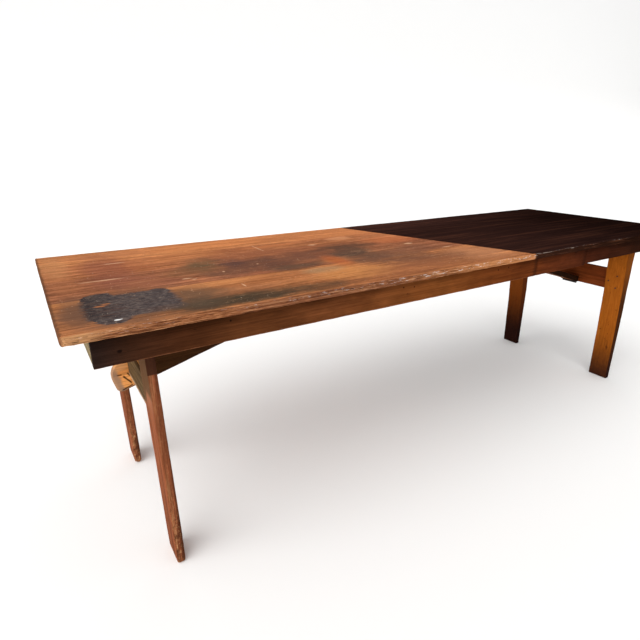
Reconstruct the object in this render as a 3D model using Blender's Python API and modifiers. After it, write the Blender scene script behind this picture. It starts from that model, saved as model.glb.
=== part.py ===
"""Long wooden folding table: planked top on a board frame, two folding leg frames with diagonal struts.

Lengths are metres. Parts are laid out from the near left corner of the top: x along the table,
y towards the far side, z up from the top surface (so z is negative below it). place() turns that
into the table's own frame, whose origin is on the floor under the middle of the top.
"""
import bpy
import bmesh
import math
from mathutils import Matrix, Vector

# ---- Overall size
LENGTH = 2.41
WIDTH = 0.762
HEIGHT = 0.72
GAP = 0.0003            # between pieces that touch

# ---- Top and the frame under it
TOP = 0.019             # plank thickness
PLANK_JOINTS = (0.0, 0.23, 0.43, 0.60, WIDTH)
RAIL_INSET = 0.030      # edge of the top to the outer face of a long rail
RAIL_THICK = 0.022
RAIL_DEPTH = 0.089      # from the top surface to the rail's lower edge
SHALLOW = 0.006         # the last length of the near rail is this much shallower
END_INSET = 0.052
RAIL_BREAKS = (1.46, 1.755)
CLEAT_DEPTH = 0.041     # from the top surface to the lower face of a cleat
CLEAT_WIDE = 0.045

# ---- Legs
LEG_Y = ((0.087, 0.171), (0.591, 0.675))
LEG_THICK = 0.024
LEG_HEAD = 0.025        # leg above its pivot
ROD_R = 0.006
RUN = 0.0001            # running clearance on a rod
SIDES = 32              # sides of a round hole or rod

LEFT_PIVOT = (0.1705, -0.065)
LEFT_SLANT = 0.0267     # the left legs lean in towards the foot
RIGHT_PIVOT = (2.214, -0.065)

# ---- Left strut, on the middle line, on edge, with a deeper blunt head
LEFT_STRUT_PIN = (0.1785, -0.267)
LEFT_STRUT_ROD_R = 0.005
LEFT_STRUT_SLOPE = 15.3
LEFT_STRUT_LONG = 0.800
LEFT_STRUT_Y = (0.369, 0.393)
STRUT_LOW = -0.0439     # the strut's lower edge, measured from its pin
BAR_TOP = 0.005
# The head's end, from its lower corner round to its top
HEAD = ((-0.0500, STRUT_LOW), (-0.0560, -0.0425), (-0.0598, -0.0385), (-0.0614, -0.0320),
        (-0.0614, -0.0126), (-0.0604, 0.0034), (-0.0569, 0.0156), (-0.0489, 0.0279),
        (-0.0351, 0.0385), (-0.0240, 0.0400))

# ---- Right strut, a flat board on a butt hinge
RIGHT_STRUT_PIN = (2.2505, -0.2963)
RIGHT_STRUT_SLOPE = 17.0
RIGHT_STRUT_LONG = 0.7712
RIGHT_STRUT_Y = (0.315, 0.400)
RIGHT_STRUT_THICK = 0.024
BARREL_R = 0.004
LEAF = 0.002
CATCH_GAP = 0.012       # between a strut's upper end and its catch block

for old in list(bpy.data.objects):
    bpy.data.objects.remove(old, do_unlink=True)

parts = bpy.data.collections.new("folding_table")
cutters = bpy.data.collections.new("cutters")
for group in (parts, cutters):
    bpy.context.scene.collection.children.link(group)


def place(x, y, z):
    """A point laid out from the top's near left corner, in the table's own frame."""
    return Vector((x - LENGTH / 2, y - WIDTH / 2, z + HEIGHT))


def material(name, colour, roughness, metallic=0.0):
    mat = bpy.data.materials.new(name)
    mat.use_nodes = True
    shader = mat.node_tree.nodes["Principled BSDF"]
    shader.inputs["Base Color"].default_value = (*colour, 1.0)
    shader.inputs["Roughness"].default_value = roughness
    shader.inputs["Metallic"].default_value = metallic
    return mat


def add(name, mesh, colour, roughness=0.6, metallic=0.0, rig=None):
    """Link a mesh as one named part, with its own material, under its joint's empty."""
    ob = bpy.data.objects.new(name, mesh)
    parts.objects.link(ob)
    mesh.materials.clear()
    mesh.materials.append(material(name, colour, roughness, metallic))
    if rig:
        ob.parent = rig
        ob.matrix_parent_inverse = rig.matrix_world.inverted()
    return ob


def hinge(name, x, z, parent=None):
    """An empty on a joint's axis. The axis runs along Y."""
    rig = bpy.data.objects.new(name, None)
    rig.empty_display_type = "SINGLE_ARROW"
    rig.empty_display_size = 0.1
    parts.objects.link(rig)
    rig.location = place(x, WIDTH / 2, z)
    bpy.context.view_layer.update()
    if parent:
        rig.parent = parent
        rig.matrix_parent_inverse = parent.matrix_world.inverted()
        bpy.context.view_layer.update()
    return rig


def bevel(ob, width, segments=2, angle=35):
    mod = ob.modifiers.new("bevel", "BEVEL")
    mod.width = width
    mod.segments = segments
    mod.limit_method = "ANGLE"
    mod.angle_limit = math.radians(angle)
    return mod


def board(name, x, y, z, colour, edge=0.001, rig=None, roughness=0.6, corners=()):
    """A sawn board between two values of x, y and z. corners: (x, y, radius) rounded in plan."""
    bm = bmesh.new()
    bmesh.ops.create_cube(bm, size=1.0)
    low = place(x[0], y[0], z[0])
    high = place(x[1], y[1], z[1])
    size = high - low
    middle = (low + high) / 2
    bmesh.ops.scale(bm, vec=size, verts=bm.verts)
    for cx, cy, radius in corners:
        at = place(cx, cy, 0) - middle
        upright = [e for e in bm.edges
                   if all((v.co.xy - at.xy).length < 0.001 for v in e.verts)]
        bmesh.ops.bevel(bm, geom=upright, offset=radius, segments=5, affect="EDGES", profile=0.5)
    mesh = bpy.data.meshes.new(name)
    bm.to_mesh(mesh)
    bm.free()
    ob = add(name, mesh, colour, roughness, rig=rig)
    ob.location = middle
    if edge:
        bevel(ob, edge)
    return ob


def outline(name, points, y, colour, edge=0.001, rig=None, roughness=0.6):
    """A flat outline in x and z, cut from a board that fills y[0] to y[1]."""
    curve = bpy.data.curves.new(name, "CURVE")
    curve.dimensions = "2D"
    curve.fill_mode = "BOTH"
    curve.extrude = (y[1] - y[0]) / 2
    spline = curve.splines.new("POLY")
    spline.points.add(len(points) - 1)
    for point, (x, z) in zip(spline.points, points):
        point.co = (x - LENGTH / 2, z + HEIGHT, 0, 1)
    spline.use_cyclic_u = True
    flat = bpy.data.objects.new(name + "_outline", curve)
    parts.objects.link(flat)
    flat.rotation_euler = (math.pi / 2, 0, 0)
    flat.location = (0, (y[0] + y[1]) / 2 - WIDTH / 2, 0)
    bpy.context.view_layer.update()
    evaluated = flat.evaluated_get(bpy.context.evaluated_depsgraph_get())
    mesh = bpy.data.meshes.new_from_object(evaluated)
    mesh.name = name
    world = flat.matrix_world.copy()
    bpy.data.objects.remove(flat, do_unlink=True)
    bm = bmesh.new()
    bm.from_mesh(mesh)
    bmesh.ops.remove_doubles(bm, verts=bm.verts, dist=0.00001)
    bmesh.ops.dissolve_limit(bm, angle_limit=0.001, verts=bm.verts, edges=bm.edges)
    bmesh.ops.recalc_face_normals(bm, faces=bm.faces)
    bm.to_mesh(mesh)
    bm.free()
    ob = add(name, mesh, colour, roughness, rig=rig)
    ob.matrix_basis = world
    if edge:
        bevel(ob, edge)
    return ob


AXES = {
    "x": Matrix.Rotation(math.pi / 2, 4, "Y"),
    "y": Matrix.Rotation(-math.pi / 2, 4, "X"),
    "z": Matrix.Identity(4),
}


def rods(name, stretches, radius, axis, colour=None, rig=None, sides=SIDES, roughness=0.35):
    """Straight round bars. Each stretch is (start point, length) along the axis."""
    bm = bmesh.new()
    for start, length in stretches:
        turn = AXES[axis]
        made = bmesh.ops.create_cone(bm, cap_ends=True, segments=sides, radius1=radius,
                                     radius2=radius, depth=abs(length))
        shift = Matrix.Translation(turn @ Vector((0, 0, length / 2)))
        bmesh.ops.transform(bm, matrix=Matrix.Translation(place(*start)) @ shift @ turn,
                            verts=made["verts"])
    mesh = bpy.data.meshes.new(name)
    bm.to_mesh(mesh)
    bm.free()
    if colour is None:
        ob = bpy.data.objects.new(name, mesh)
        cutters.objects.link(ob)
        ob.hide_render = True
        ob.display_type = "WIRE"
        return ob
    mesh.shade_smooth()
    mesh.set_sharp_from_angle(angle=math.radians(40))
    return add(name, mesh, colour, roughness, 0.9, rig)


def cut(ob, cutter):
    mod = ob.modifiers.new("cut", "BOOLEAN")
    mod.operation = "DIFFERENCE"
    mod.object = cutter


def join(ob, tool):
    mod = ob.modifiers.new("join", "BOOLEAN")
    mod.operation = "UNION"
    mod.object = tool


def bore(ob, name, stretches, radius, axis, sides=SIDES):
    cut(ob, rods(name, stretches, radius, axis, sides=sides))


def nails(name, points, axis, way, length, head_r, shank_r, colour, rig=None, head=0.0012,
          sides=8, turned=None):
    """One nail or screw at each point, head there, driven along the axis (way is 1 or -1)."""
    profile = ((0, 0), (head_r, 0), (head_r, -head), (shank_r, -head), (shank_r, -length),
               (0, -length))
    turn = AXES[axis] @ (Matrix.Rotation(math.pi, 4, "X") if way > 0 else Matrix.Identity(4))
    made = []
    for index, point in enumerate(points, start=1):
        bm = bmesh.new()
        ring = [bm.verts.new((r, 0, z)) for r, z in profile]
        edges = [bm.edges.new(pair) for pair in zip(ring, ring[1:])]
        bmesh.ops.spin(bm, geom=ring + edges, axis=(0, 0, 1), cent=(0, 0, 0),
                       angle=2 * math.pi, steps=sides, use_merge=True)
        bmesh.ops.remove_doubles(bm, verts=bm.verts, dist=0.00001)
        bmesh.ops.transform(bm, matrix=Matrix.Translation(place(*point)) @ turn, verts=bm.verts)
        if turned:
            bmesh.ops.transform(bm, matrix=turned, verts=bm.verts)
        bmesh.ops.recalc_face_normals(bm, faces=bm.faces)
        mesh = bpy.data.meshes.new(f"{name}_{index}")
        bm.to_mesh(mesh)
        bm.free()
        mesh.shade_smooth()
        mesh.set_sharp_from_angle(angle=math.radians(40))
        made.append(add(mesh.name, mesh, colour, 0.55, 0.8, rig))
    return made


def nail_holes(obs, name, points, axis, way, length, shank_r, sides=8):
    """Clear each nail's shank out of the boards it passes through."""
    start = {"x": (1, 0, 0), "y": (0, 1, 0), "z": (0, 0, 1)}[axis]
    back = 0.004
    stretches = [(tuple(p[i] - way * back * start[i] for i in range(3)),
                  way * (length + back + GAP)) for p in points]
    tool = rods(name, stretches, shank_r + GAP, axis, sides=sides)
    for ob in obs:
        cut(ob, tool)


# ---- Wood and steel colours
VARNISH = (0.120, 0.040, 0.013)
DARK = (0.030, 0.014, 0.009)
RAW = (0.300, 0.170, 0.090)
RED = (0.330, 0.130, 0.065)
GOLD = (0.380, 0.170, 0.055)
STEEL = (0.250, 0.230, 0.210)

RAIL_Y = (RAIL_INSET, RAIL_INSET + RAIL_THICK)
FAR_Y = (WIDTH - RAIL_INSET - RAIL_THICK, WIDTH - RAIL_INSET)
UNDER = -TOP - GAP                      # top of whatever is fixed under the planks
INSIDE = (RAIL_Y[1] + GAP, FAR_Y[0] - GAP)
END_X = (END_INSET, LENGTH - END_INSET)

# ---- Top: four planks laid lengthwise
planks = []
for index, (near, far) in enumerate(zip(PLANK_JOINTS, PLANK_JOINTS[1:]), start=1):
    y = (near + (GAP / 2 if index > 1 else 0), far - (GAP / 2 if index < 4 else 0))
    rounded = {1: [(0.0, 0.0, 0.014), (LENGTH, 0.0, 0.010)],
               4: [(0.0, WIDTH, 0.010), (LENGTH, WIDTH, 0.010)]}.get(index, [])
    planks.append(board(f"top_plank_{index}", (0, LENGTH), y, (-TOP, 0), VARNISH,
                        edge=0.0025 if index in (1, 4) else 0.0006, corners=rounded))

# ---- Long rails. The near one is pieced from three lengths
breaks = (END_X[0], *RAIL_BREAKS, END_X[1])
near_rails = []
for letter, start, stop, drop in zip("abc", breaks, breaks[1:], (0, 0, SHALLOW)):
    x = (start + (GAP if letter != "a" else 0), stop - (GAP if letter != "c" else 0))
    near_rails.append(board(f"near_rail_{letter}", x, RAIL_Y, (-RAIL_DEPTH + drop, UNDER),
                            VARNISH if letter == "a" else DARK, edge=0.002))
far_rail = board("far_rail", END_X, FAR_Y, (-RAIL_DEPTH, UNDER), VARNISH, edge=0.002)
board("end_rail_left", (END_X[0], END_X[0] + RAIL_THICK), INSIDE,
      (-RAIL_DEPTH + 0.002, UNDER), RAW, edge=0.0015)
board("end_rail_right", (END_X[1] - RAIL_THICK, END_X[1]), INSIDE,
      (-RAIL_DEPTH + 0.002, UNDER), RAW, edge=0.0015)

# ---- Splice blocks behind the joints of the near rail
splices = []
for side, middle in zip(("left", "right"), RAIL_BREAKS):
    splices.append(board(f"splice_block_{side}", (middle - 0.06, middle + 0.06),
                         (INSIDE[0], INSIDE[0] + 0.019), (-0.079, UNDER), RAW))

# ---- Cleats across the planks, and the two that the leg frames stop against
cleats = []
for word, middle in (("left", 0.62), ("middle", 1.235), ("right", 1.87)):
    cleats.append(board(f"cleat_{word}", (middle - CLEAT_WIDE / 2, middle + CLEAT_WIDE / 2),
                        INSIDE, (-CLEAT_DEPTH, UNDER), RAW))
board("stop_cleat_left", (0.184, 0.224), INSIDE, (-0.050, UNDER), RAW)
board("stop_cleat_right", (2.1565, 2.1965), INSIDE, (-0.046, UNDER), RAW)

# ---- Corner blocks
for word, x, y in (("near_left", END_X[0] + RAIL_THICK + GAP, INSIDE[0]),
                   ("far_left", END_X[0] + RAIL_THICK + GAP, INSIDE[1] - 0.028),
                   ("near_right", END_X[1] - RAIL_THICK - GAP - 0.028, INSIDE[0]),
                   ("far_right", END_X[1] - RAIL_THICK - GAP - 0.028, INSIDE[1] - 0.028)):
    board(f"corner_block_{word}", (x, x + 0.028), (y, y + 0.028), (-0.078, UNDER), RAW)

# ---- Pivot rods, fixed in blind holes in the long rails
ROD_Y = (RAIL_INSET + 0.0105, WIDTH - RAIL_INSET - 0.0105)
HOLE_Y = (RAIL_INSET + 0.010, WIDTH - RAIL_INSET - 0.010)
for word, (px, pz), rail in (("left", LEFT_PIVOT, near_rails[0]),
                             ("right", RIGHT_PIVOT, near_rails[2])):
    rods(f"pivot_rod_{word}", [((px, ROD_Y[0], pz), ROD_Y[1] - ROD_Y[0])], ROD_R, "y", STEEL)
    bore(rail, f"cut_near_{word}", [((px, HOLE_Y[0], pz), 0.03)], ROD_R + GAP, "y")
    bore(far_rail, f"cut_far_{word}", [((px, HOLE_Y[1] - 0.03, pz), 0.03)], ROD_R + GAP, "y")

# ================= Left leg frame
left_rig = hinge("left_leg_hinge", *LEFT_PIVOT)


def left_face(z, offset=0.0):
    """x of the left legs' outer face, or of a plane that far behind it."""
    return LEFT_PIVOT[0] - LEG_THICK / 2 + LEFT_SLANT * (LEFT_PIVOT[1] - z) + offset


leg_top = LEFT_PIVOT[1] + LEG_HEAD
foot = -HEIGHT
left_outline = [
    (left_face(leg_top), leg_top), (left_face(-0.30), -0.30), (left_face(-0.57), -0.57),
    (left_face(foot + 0.007), foot + 0.007), (left_face(foot) + 0.0012, foot + 0.0025),
    (left_face(foot) + 0.0035, foot), (left_face(foot, 0.0155), foot),
    (left_face(foot, 0.0190), foot + 0.0025), (left_face(foot, 0.0210), foot + 0.010),
    (left_face(foot + 0.10, 0.0225), foot + 0.10), (left_face(leg_top, LEG_THICK), leg_top)]
left_legs = []
for word, y in zip(("near", "far"), LEG_Y):
    leg = outline(f"left_leg_{word}", left_outline, y, RED, edge=0.002, rig=left_rig)
    bore(leg, f"cut_pivot_left_{word}", [((LEFT_PIVOT[0], y[0] - 0.01, LEFT_PIVOT[1]), 0.104)],
         ROD_R + RUN, "y")
    left_legs.append(leg)

# Crossbar between the legs, flush with their outer faces, notched from below for the strut's head
bar_z = (-0.184, -0.272)
BAR_THICK = 0.0086
NOTCH_Y, NOTCH_TOP = (0.3635, 0.3985), -0.202
bar_y = (LEG_Y[0][1] + GAP, LEG_Y[1][0] - GAP)
bar = [(left_face(bar_z[0]) + 0.0005, bar_z[0]), (left_face(bar_z[1]) + 0.0005, bar_z[1]),
       (left_face(bar_z[1]) + BAR_THICK, bar_z[1]), (left_face(bar_z[0]) + BAR_THICK, bar_z[0])]
crossbar = outline("left_crossbar", bar, bar_y, RAW, edge=0.0015, rig=left_rig)
notch = board("crossbar_notch", (0.140, 0.200), NOTCH_Y, (-0.290, NOTCH_TOP), RAW, edge=0)
parts.objects.unlink(notch)
cutters.objects.link(notch)
notch.hide_render = True
notch.display_type = "WIRE"
cut(crossbar, notch)

# The rod that the left strut swings on, let into the inner sides of both legs
pin_x, pin_z = LEFT_STRUT_PIN
pin_y = (LEG_Y[0][1] - 0.012, LEG_Y[1][0] + 0.012)
rods("left_strut_rod", [((pin_x, pin_y[0] + GAP, pin_z), pin_y[1] - pin_y[0] - 2 * GAP)],
     LEFT_STRUT_ROD_R, "y", STEEL, rig=left_rig)
bore(left_legs[0], "cut_strut_near", [((pin_x, pin_y[0], pin_z), 0.03)], LEFT_STRUT_ROD_R + GAP,
     "y")
bore(left_legs[1], "cut_strut_far", [((pin_x, pin_y[1] - 0.03, pin_z), 0.03)],
     LEFT_STRUT_ROD_R + GAP, "y")

# Washers on the rod, either side of the strut
washers = []
for word, y in (("near", LEFT_STRUT_Y[0] - 0.0005 - 0.002), ("far", LEFT_STRUT_Y[1] + 0.0005)):
    washer = rods(f"left_strut_washer_{word}", [((pin_x, y, pin_z), 0.002)], 0.011, "y", STEEL,
                  rig=left_rig)
    bore(washer, f"cut_washer_{word}", [((pin_x, y - 0.01, pin_z), 0.022)],
         LEFT_STRUT_ROD_R + GAP, "y")
    washers.append(washer)

# ---- Left strut: a bar on edge with a deeper blunt head at its pin
left_strut_rig = hinge("left_strut_hinge", pin_x, pin_z, parent=left_rig)
tilt = math.radians(LEFT_STRUT_SLOPE)


def on_left_strut(u, v):
    """A point u along the strut from its pin and v above its middle line."""
    return (pin_x + u * math.cos(tilt) - v * math.sin(tilt),
            pin_z + u * math.sin(tilt) + v * math.cos(tilt))


end_x = on_left_strut(LEFT_STRUT_LONG, BAR_TOP)[0]
low_u = (end_x - pin_x + STRUT_LOW * math.sin(tilt)) / math.cos(tilt)
strut_points = [on_left_strut(u, v) for u, v in
                HEAD + ((0.030, 0.0400), (0.052, 0.030), (0.075, 0.010), (0.092, BAR_TOP),
                        (LEFT_STRUT_LONG, BAR_TOP), (low_u, STRUT_LOW))]
left_strut = outline("left_strut", strut_points, LEFT_STRUT_Y, GOLD, edge=0.0015,
                     rig=left_strut_rig)
bore(left_strut, "cut_left_strut", [((pin_x, LEFT_STRUT_Y[0] - 0.01, pin_z), 0.044)],
     LEFT_STRUT_ROD_R + RUN, "y")

catch_x = end_x + CATCH_GAP
left_catch = board("strut_catch_left", (catch_x, catch_x + 0.040), (0.326, 0.436),
                   (-0.057, UNDER), RAW)

# ================= Right leg frame
right_rig = hinge("right_leg_hinge", *RIGHT_PIVOT)
INNER = ((-0.040, 2.198), (-0.120, 2.198), (-0.30, 2.219), (-0.47, 2.233), (-0.72, 2.2445))
OUTER = ((-0.040, 2.2475), (-0.108, 2.249), (-0.25, 2.253), (-0.40, 2.262), (-0.72, 2.266))


def face(table, z):
    """x on a face given as (z, x) stations from the top down."""
    for (z0, x0), (z1, x1) in zip(table, table[1:]):
        if z >= z1:
            return x0 + (x1 - x0) * (z - z0) / (z1 - z0)
    return table[-1][1]


right_outline = [(x, z) for z, x in INNER] + [(x, z) for z, x in reversed(OUTER)]
right_legs = []
for word, y in zip(("near", "far"), LEG_Y):
    leg = outline(f"right_leg_{word}", right_outline, y, GOLD, edge=0.002, rig=right_rig)
    bore(leg, f"cut_pivot_right_{word}",
         [((RIGHT_PIVOT[0], y[0] - 0.01, RIGHT_PIVOT[1]), 0.104)], ROD_R + RUN, "y")
    right_legs.append(leg)

board_z = (-0.198, -0.292)
board_y = (0.100, 0.662)
hang = [(face(OUTER, z) + GAP, z) for z in board_z]
crossboard = outline("right_crossboard", hang + [(hang[1][0] + 0.020, hang[1][1] + 0.0008),
                                                 (hang[0][0] + 0.020, hang[0][1] + 0.0008)],
                     board_y, RED, edge=0.001, rig=right_rig)
board_nails = [(face(INNER, z) - 0.0021, y, z)
               for y, z in ((0.120, -0.215), (0.155, -0.243), (0.120, -0.271),
                            (0.642, -0.215), (0.607, -0.243), (0.642, -0.271))]
board_nail = dict(length=0.055, head_r=0.0035, shank_r=0.0014)
nails("crossboard_nail", board_nails, "x", 1, colour=STEEL, rig=right_rig, **board_nail)
nail_holes([crossboard, *right_legs], "holes_crossboard", board_nails, "x", 1,
           board_nail["length"], board_nail["shank_r"])

# ---- Right strut and its butt hinge
hinge_x, hinge_z = RIGHT_STRUT_PIN
right_strut_rig = hinge("right_strut_hinge", hinge_x, hinge_z, parent=right_rig)
lean = math.radians(RIGHT_STRUT_SLOPE)


def on_right_strut(u, v):
    """A point u along the strut from its hinge pin and v above the pin, square to the strut."""
    return (hinge_x - u * math.cos(lean) + v * math.sin(lean),
            hinge_z + u * math.sin(lean) + v * math.cos(lean))


def plumb(x, v):
    """The u of a vertical cut at x, at height v on the right strut."""
    return (hinge_x + v * math.sin(lean) - x) / math.cos(lean)


low = BARREL_R + 2 * GAP
high = low + RIGHT_STRUT_THICK
butt_x = hinge_x + 0.0015            # just short of the leaf under the crossboard
tip_x = on_right_strut(RIGHT_STRUT_LONG, high)[0]
right_strut = outline(
    "right_strut", [on_right_strut(plumb(butt_x, low), low), on_right_strut(plumb(butt_x, high), high),
                    on_right_strut(plumb(tip_x, high), high), on_right_strut(plumb(tip_x, low), low)],
    RIGHT_STRUT_Y, GOLD, edge=0.001, rig=right_strut_rig)

catch_x = tip_x - CATCH_GAP
right_catch = board("strut_catch_right", (catch_x - 0.040, catch_x), (0.3025, 0.4125),
                    (-0.050, UNDER), RAW)

KNUCKLES = 5
hinge_y = (0.3225, 0.3925)
pitch = (hinge_y[1] - hinge_y[0]) / KNUCKLES
spans = [(hinge_y[0] + i * pitch + GAP / 2, hinge_y[0] + (i + 1) * pitch - GAP / 2)
         for i in range(KNUCKLES)]


def leaf(name, corner, own, rig):
    """A hinge leaf: a plate, a tongue to each of its own knuckles, and the knuckles themselves."""
    plate = outline(name, [corner(0.0048, BARREL_R), corner(0.0200, BARREL_R),
                           corner(0.0200, BARREL_R - LEAF), corner(0.0048, BARREL_R - LEAF)],
                    hinge_y, STEEL, edge=0, rig=rig, roughness=0.5)
    for index, span in enumerate(own):
        tongue = outline(f"{name}_tongue_{index}",
                         [corner(0.0, BARREL_R), corner(0.0060, BARREL_R),
                          corner(0.0060, BARREL_R - LEAF), corner(0.0, BARREL_R - LEAF)],
                         span, STEEL, edge=0)
        parts.objects.unlink(tongue)
        cutters.objects.link(tongue)
        tongue.hide_render = True
        tongue.display_type = "WIRE"
        join(plate, tongue)
        join(plate, rods(f"{name}_knuckle_{index}",
                         [((hinge_x, span[0], hinge_z), span[1] - span[0])], BARREL_R, "y",
                         sides=24))
    cut(plate, rods(f"{name}_pin_hole", [((hinge_x, hinge_y[0] - 0.01, hinge_z), 0.09)],
                    0.0017 + RUN, "y", sides=24))
    return plate


def on_crossboard(s, v):
    """A point s behind the pin under the crossboard's lower edge, and v above the pin."""
    return (hinge_x + s, hinge_z + v)


strut_leaf = leaf("hinge_leaf_strut", on_right_strut, spans[1::2], right_strut_rig)
board_leaf = leaf("hinge_leaf_board", on_crossboard, spans[0::2], right_rig)
rods("hinge_pin", [((hinge_x, hinge_y[0] - 0.001, hinge_z), hinge_y[1] - hinge_y[0] + 0.002)],
     0.0017, "y", STEEL, rig=right_rig, sides=24)

# ---- Screws through the hinge leaves, heads down
leaf_screw = dict(length=0.013, head_r=0.0024, shank_r=0.0012)
leaf_y = [hinge_y[0] + pitch * (i + 0.5) for i in (0, 2, 4)]
board_screws = [(hinge_x + 0.0140, y, hinge_z + BARREL_R - LEAF - 0.0015) for y in leaf_y]
nails("hinge_board_screw", board_screws, "z", 1, colour=STEEL, rig=right_rig, **leaf_screw)
nail_holes([board_leaf, crossboard], "holes_leaf_board", board_screws, "z", 1,
           leaf_screw["length"], leaf_screw["shank_r"])

swing = (Matrix.Translation(place(hinge_x, 0, hinge_z)) @ Matrix.Rotation(lean, 4, "Y")
         @ Matrix.Translation(-place(hinge_x, 0, hinge_z)))
strut_screws = [(hinge_x - 0.0130, y, hinge_z + BARREL_R - LEAF - 0.0015) for y in leaf_y]
nails("hinge_strut_screw", strut_screws, "z", 1, colour=STEEL, rig=right_strut_rig, turned=swing,
      **leaf_screw)
tool = rods("holes_leaf_strut", [((x, y, z - 0.004), leaf_screw["length"] + 0.006)
                                 for x, y, z in strut_screws],
            leaf_screw["shank_r"] + GAP, "z", sides=8)
tool.data.transform(swing)
for ob in (strut_leaf, right_strut):
    cut(ob, tool)

# ---- Screws up through the catch blocks
catch_screw = dict(length=0.044, head_r=0.0038, shank_r=0.0018)
catch_points = [(0.9793, y, -0.057 - 0.0015) for y in (0.345, 0.417)]
right_mid = catch_x - 0.020
right_points = [(right_mid, y, -0.050 - 0.0015) for y in (0.322, 0.393)]
nails("catch_screw_left", catch_points, "z", 1, colour=STEEL, **catch_screw)
nails("catch_screw_right", right_points, "z", 1, colour=STEEL, **catch_screw)
nail_holes([left_catch, planks[1]], "holes_catch_left", catch_points, "z", 1,
           catch_screw["length"], catch_screw["shank_r"])
nail_holes([right_catch, planks[1]], "holes_catch_right", right_points, "z", 1,
           catch_screw["length"], catch_screw["shank_r"])
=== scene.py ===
"""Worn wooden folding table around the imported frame.

Lengths are metres. Boards are laid out from the near left corner of the top: x along the table,
y towards the far side, z up from the top surface. place() turns that into the frame's coordinates.
"""
import bpy
import math
import numpy as np
from mathutils import Matrix, Vector


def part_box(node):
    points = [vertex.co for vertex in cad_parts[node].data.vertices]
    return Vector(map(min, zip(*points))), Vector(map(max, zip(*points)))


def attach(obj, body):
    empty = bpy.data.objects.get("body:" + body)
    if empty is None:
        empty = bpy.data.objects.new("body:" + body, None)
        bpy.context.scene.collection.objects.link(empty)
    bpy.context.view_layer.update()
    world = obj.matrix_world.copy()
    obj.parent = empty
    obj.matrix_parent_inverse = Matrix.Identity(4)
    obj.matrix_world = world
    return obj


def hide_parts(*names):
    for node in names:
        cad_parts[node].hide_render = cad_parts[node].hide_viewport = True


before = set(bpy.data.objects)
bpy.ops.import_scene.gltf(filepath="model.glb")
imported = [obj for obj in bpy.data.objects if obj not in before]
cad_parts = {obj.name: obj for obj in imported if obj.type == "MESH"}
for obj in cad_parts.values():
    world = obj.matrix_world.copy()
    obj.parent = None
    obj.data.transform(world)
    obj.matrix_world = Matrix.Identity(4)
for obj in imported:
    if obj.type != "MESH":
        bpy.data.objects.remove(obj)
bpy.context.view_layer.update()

LENGTH, WIDTH, HEIGHT = 2.41, 0.762, 0.72
TOP = 0.019                             # thickness of the planks
GAP = 0.0003                            # between pieces that touch
PLANK_JOINTS = (0.0, 0.23, 0.43, 0.60, WIDTH)
RAIL_BREAKS = (1.460, 1.755)            # where the near rail's three lengths meet
LEG_Y = ((0.087, 0.171), (0.591, 0.675))
FACE_X, FACE_Z, FACE_SLOPE = 0.1585, -0.065, 0.0267     # a line down the left legs' outer face
PIN_L, TILT = (0.1785, -0.267), math.radians(15.3)      # the left strut's pin, and its slope
# DARK_X and DARK_SLANT place the edge of the shadow painted on the top.
DARK_X, DARK_SLANT = 1.40, 0.348        # the line where the top turns dark, at the near edge
ORIGIN = np.array([-LENGTH / 2, -WIDTH / 2, HEIGHT])


def place(x, y, z):
    return Vector((x - LENGTH / 2, y - WIDTH / 2, z + HEIGHT))


def srgb(r, g, b, gain=1.0):
    """Display colour, 0 to 255, as a linear colour."""
    def one(c):
        c /= 255
        return (c / 12.92 if c <= 0.04045 else ((c + 0.055) / 1.055) ** 2.4) * gain
    return (one(r), one(g), one(b), 1.0)


# ======== numeric noise for the meshes

def lattice(ix, iy, iz, seed):
    h = (ix.astype(np.int64) * 374761393 + iy.astype(np.int64) * 668265263
         + iz.astype(np.int64) * 2147483647 + seed * 1274126177) & 0xFFFFFFFF
    h = ((h ^ (h >> 13)) * 1274126177) & 0xFFFFFFFF
    h = ((h ^ (h >> 16)) * 2246822519) & 0xFFFFFFFF
    return ((h ^ (h >> 15)) & 0xFFFFFF) / float(0xFFFFFF) * 2 - 1


def fuzz(p, size, seed, octaves=1):
    """Smooth noise from -1 to 1 at points p (n x 3). size: feature length along each axis."""
    total, weight, gain = np.zeros(len(p)), 0.0, 1.0
    q = p / np.asarray(size, float)
    for octave in range(octaves):
        base = np.floor(q)
        f = q - base
        f = f * f * (3 - 2 * f)
        value = np.zeros(len(p))
        for dx in (0, 1):
            for dy in (0, 1):
                for dz in (0, 1):
                    w = ((f[:, 0] if dx else 1 - f[:, 0]) * (f[:, 1] if dy else 1 - f[:, 1])
                         * (f[:, 2] if dz else 1 - f[:, 2]))
                    value += w * lattice(base[:, 0] + dx, base[:, 1] + dy, base[:, 2] + dz,
                                         seed + octave)
        total += value * gain
        weight += gain
        gain *= 0.5
        q = q * 2.03
    return total / weight


# ======== boards with worn edges

def stations(length, step):
    edge = [d for d in (0.0, 0.0008, 0.0018, 0.0032, 0.0052, 0.008, 0.012) if d < length * 0.45]
    inner = max(1, int(round((length - 2 * edge[-1]) / step)))
    middle = np.linspace(edge[-1], length - edge[-1], inner + 1)[1:-1]
    return np.array(edge + list(middle) + [length - d for d in reversed(edge)])


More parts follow.
